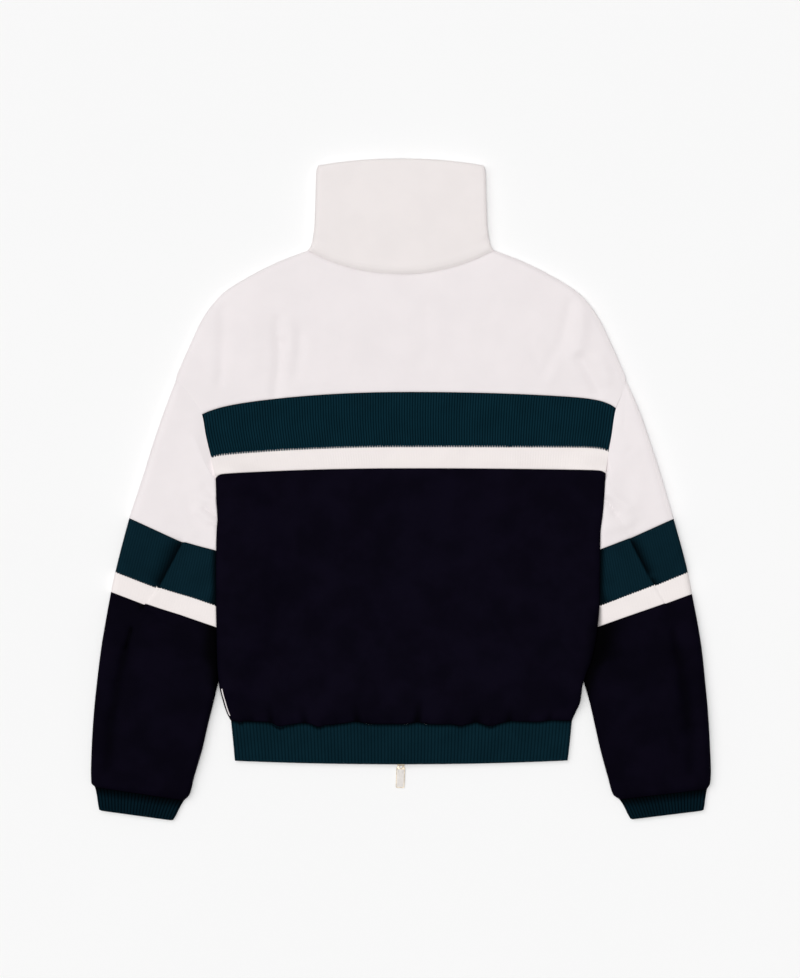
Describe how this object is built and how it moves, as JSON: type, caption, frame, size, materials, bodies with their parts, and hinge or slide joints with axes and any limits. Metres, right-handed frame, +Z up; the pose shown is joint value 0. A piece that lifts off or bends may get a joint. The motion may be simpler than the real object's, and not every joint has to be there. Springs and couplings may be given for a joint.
{
  "type": "bomber jacket",
  "caption": "Padded bomber jacket with a high zipped collar, rib-knit hem and cuffs and contrast bands, lying flat on its front with its back up.",
  "frame": {"origin": "under the middle of the jacket's outline, on the surface it lies on", "axes": "+X towards the wearer's right side, +Y towards the collar, +Z up out of the jacket's back"},
  "size_m": [0.8066, 0.8598, 0.019],
  "materials": {
    "white_shell": "smooth woven shell with a faint sheen",
    "green_rib_knit": "matte rib knit",
    "cream_band": "soft matte knit band",
    "navy_shell": "smooth woven shell with a faint sheen",
    "zip_tape": "woven tape with a closed chain",
    "gold_metal": "polished",
    "cream_enamel": "glossy enamel over metal"
  },
  "bodies": {
    "garment": {"back_yoke": "white_shell", "front_yoke_left": "white_shell", "front_yoke_right": "white_shell", "collar": "white_shell", "sleeve_upper_left": "white_shell", "sleeve_upper_right": "white_shell", "side_tab": "white_shell", "back_band_green": "green_rib_knit", "front_band_green_left": "green_rib_knit", "front_band_green_right": "green_rib_knit", "sleeve_band_green_left": "green_rib_knit", "sleeve_band_green_right": "green_rib_knit", "hem_rib": "green_rib_knit", "cuff_left": "green_rib_knit", "cuff_right": "green_rib_knit", "back_band_cream": "cream_band", "front_band_cream_left": "cream_band", "front_band_cream_right": "cream_band", "sleeve_band_cream_left": "cream_band", "sleeve_band_cream_right": "cream_band", "back_lower": "navy_shell", "front_lower_left": "navy_shell", "front_lower_right": "navy_shell", "sleeve_lower_left": "navy_shell", "sleeve_lower_right": "navy_shell", "zip_chain": "zip_tape", "zip_slider": "gold_metal"},
    "pull": {"zip_pull": "cream_enamel"}
  },
  "joints": [
    {"name": "pull_swing", "type": "hinge", "parent": "garment", "child": "pull", "pos_m": [0, -0.3561, 0.0011], "axis": [0.9962, -0.0872, 0], "range_deg": [0, 150]}
  ]
}
